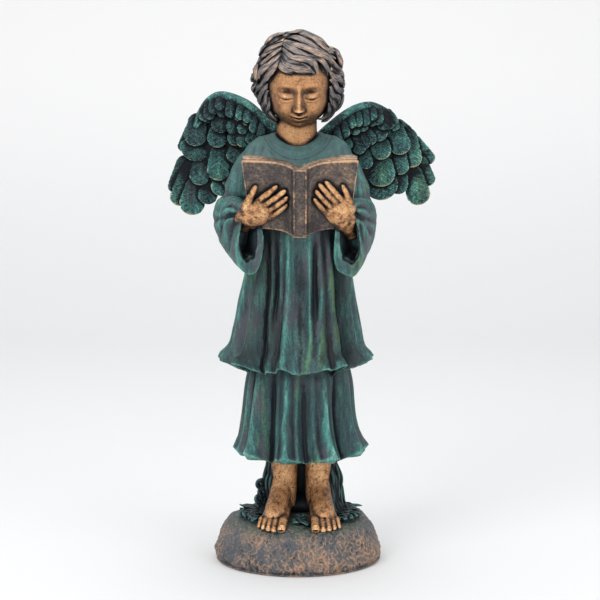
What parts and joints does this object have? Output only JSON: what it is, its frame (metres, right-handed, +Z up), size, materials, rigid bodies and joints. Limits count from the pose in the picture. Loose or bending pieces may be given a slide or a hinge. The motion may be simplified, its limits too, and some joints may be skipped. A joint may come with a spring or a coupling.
{
  "type": "angel statue",
  "caption": "Garden statue of a barefoot child angel in a pleated gown, reading an open book on a boulder base, with feathered wings.",
  "frame": {"origin": "middle of the boulder's flat underside, on the floor", "axes": "+Z up, the figure faces -Y, its left hand is at +X"},
  "size_m": [0.4299, 0.2731, 0.8398],
  "materials": {
    "statue": "dry-brushed verdigris over near-black on the robe, wings and leaves, rubbed copper on the skin, hair, book and rock"
  },
  "bodies": {
    "root": {"angel_statue": "statue"}
  },
  "joints": []
}
